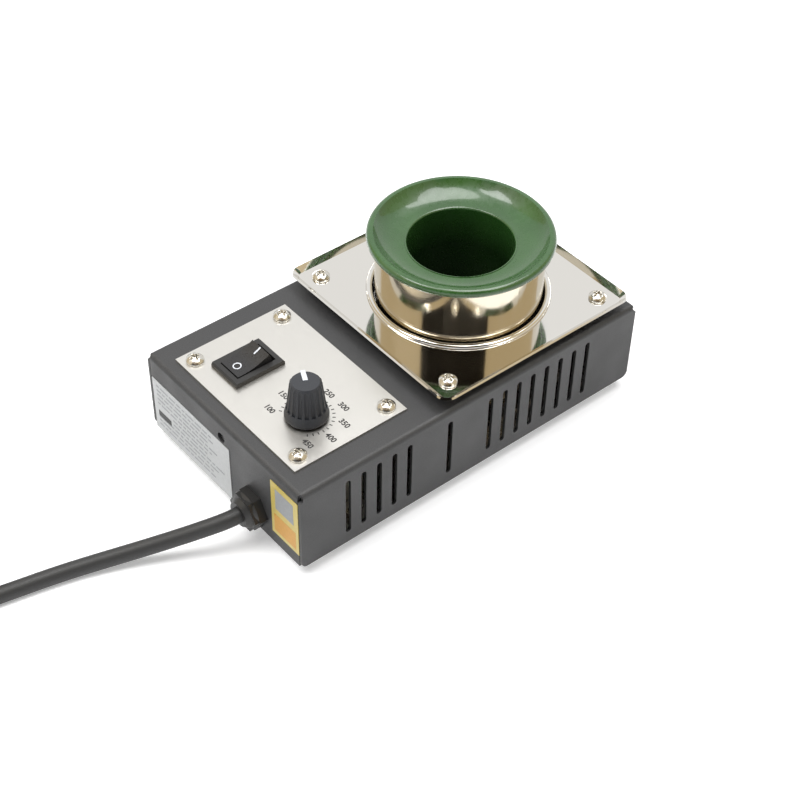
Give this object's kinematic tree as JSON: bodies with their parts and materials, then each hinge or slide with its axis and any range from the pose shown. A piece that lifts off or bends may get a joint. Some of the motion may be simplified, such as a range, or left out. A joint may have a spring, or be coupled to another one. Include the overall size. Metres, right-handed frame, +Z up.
{
  "type": "solder pot",
  "caption": "Bench solder pot: folded steel case with a rocker switch and a dial knob, a flared spill tray and a dished crucible on a heated can.",
  "frame": {"origin": "centre of the case's footprint, on the bench under its rubber feet", "axes": "+Z up, +Y from the control panel's end towards the crucible, +X to the knob's side"},
  "size_m": [0.1568, 0.3122, 0.0703],
  "materials": {
    "case_paint": "fine dark grey powder coat",
    "steel": "plain steel",
    "zinc": "bright zinc plate",
    "panel_satin": "satin silver",
    "stainless": "polished stainless steel",
    "green_glaze": "glossy dark green glaze",
    "feet_rubber": "soft black rubber",
    "black_plastic": "moulded black",
    "rocker_plastic": "semi-gloss black",
    "knob_plastic": "moulded dark grey",
    "pointer_white": "white inlay",
    "board_green": "solder mask",
    "brass": "bright",
    "pot_case": "moulded grey",
    "trimmer_blue": "moulded blue",
    "trimmer_white": "moulded white",
    "capacitor_yellow": "moulded yellow",
    "chip_black": "moulded black",
    "block_ivory": "moulded ivory",
    "insulation": "white fibre board",
    "cord_black": "black cord jacket",
    "wire_cover": "silicone wire cover",
    "label_white": "silver white film",
    "label_yellow": "yellow film"
  },
  "bodies": {
    "case": {"cover": "case_paint", "base_lugs": "steel", "base_plate": "steel", "base_screws": "zinc", "feet": "feet_rubber", "foot_screws": "zinc", "foot_nuts": "zinc", "control_panel": "panel_satin", "panel_screws": "zinc", "switch_body": "black_plastic", "switch_terminals": "brass", "potentiometer": "pot_case", "shaft_nut": "zinc", "circuit_board": "board_green", "board_spacers": "brass", "board_screws": "zinc", "trimmer_body": "trimmer_blue", "film_capacitor": "capacitor_yellow", "control_chip": "chip_black", "triac": "chip_black", "triac_screw": "zinc", "terminal_block": "block_ivory", "spill_tray": "stainless", "tray_spacers": "zinc", "tray_bolts": "zinc", "tray_nuts": "zinc", "heater_can": "stainless", "crucible": "green_glaze", "band_heater": "steel", "clamp_screws": "zinc", "insulation_sleeve": "insulation", "insulation_disc": "insulation", "thermocouple": "zinc", "pot_bracket": "steel", "bracket_screws": "zinc", "pot_stud": "steel", "stud_nut": "zinc", "gland_body": "black_plastic", "gland_cap": "black_plastic", "gland_nut": "black_plastic", "gland_seal": "feet_rubber", "inner_cable": "cord_black", "internal_wires": "wire_cover", "white_label": "label_white", "yellow_label": "label_yellow", "mains_lead": "cord_black", "lead_tail": "cord_black", "lead_coil": "cord_black", "plug_body": "black_plastic", "plug_pins": "brass"},
    "rocker": {"switch_rocker": "rocker_plastic"},
    "knob": {"knob": "knob_plastic", "knob_pointer": "pointer_white", "control_shaft": "zinc"},
    "trimmer": {"trimmer_rotor": "trimmer_white"}
  },
  "joints": [
    {"name": "rocker_tilt", "type": "hinge", "parent": "case", "child": "rocker", "pos_m": [-0.0165, -0.0537, 0.0398], "axis": [-1, 0, 0], "range_deg": [0, 26]},
    {"name": "knob_turn", "type": "hinge", "parent": "case", "child": "knob", "pos_m": [0.0166, -0.0531, 0.0416], "axis": [0, 0, 1], "range_deg": [-214, 86]},
    {"name": "trimmer_turn", "type": "hinge", "parent": "case", "child": "trimmer", "pos_m": [0, -0.0729, 0.0326], "axis": [0, 1, 0], "range_deg": [-135, 135]}
  ]
}
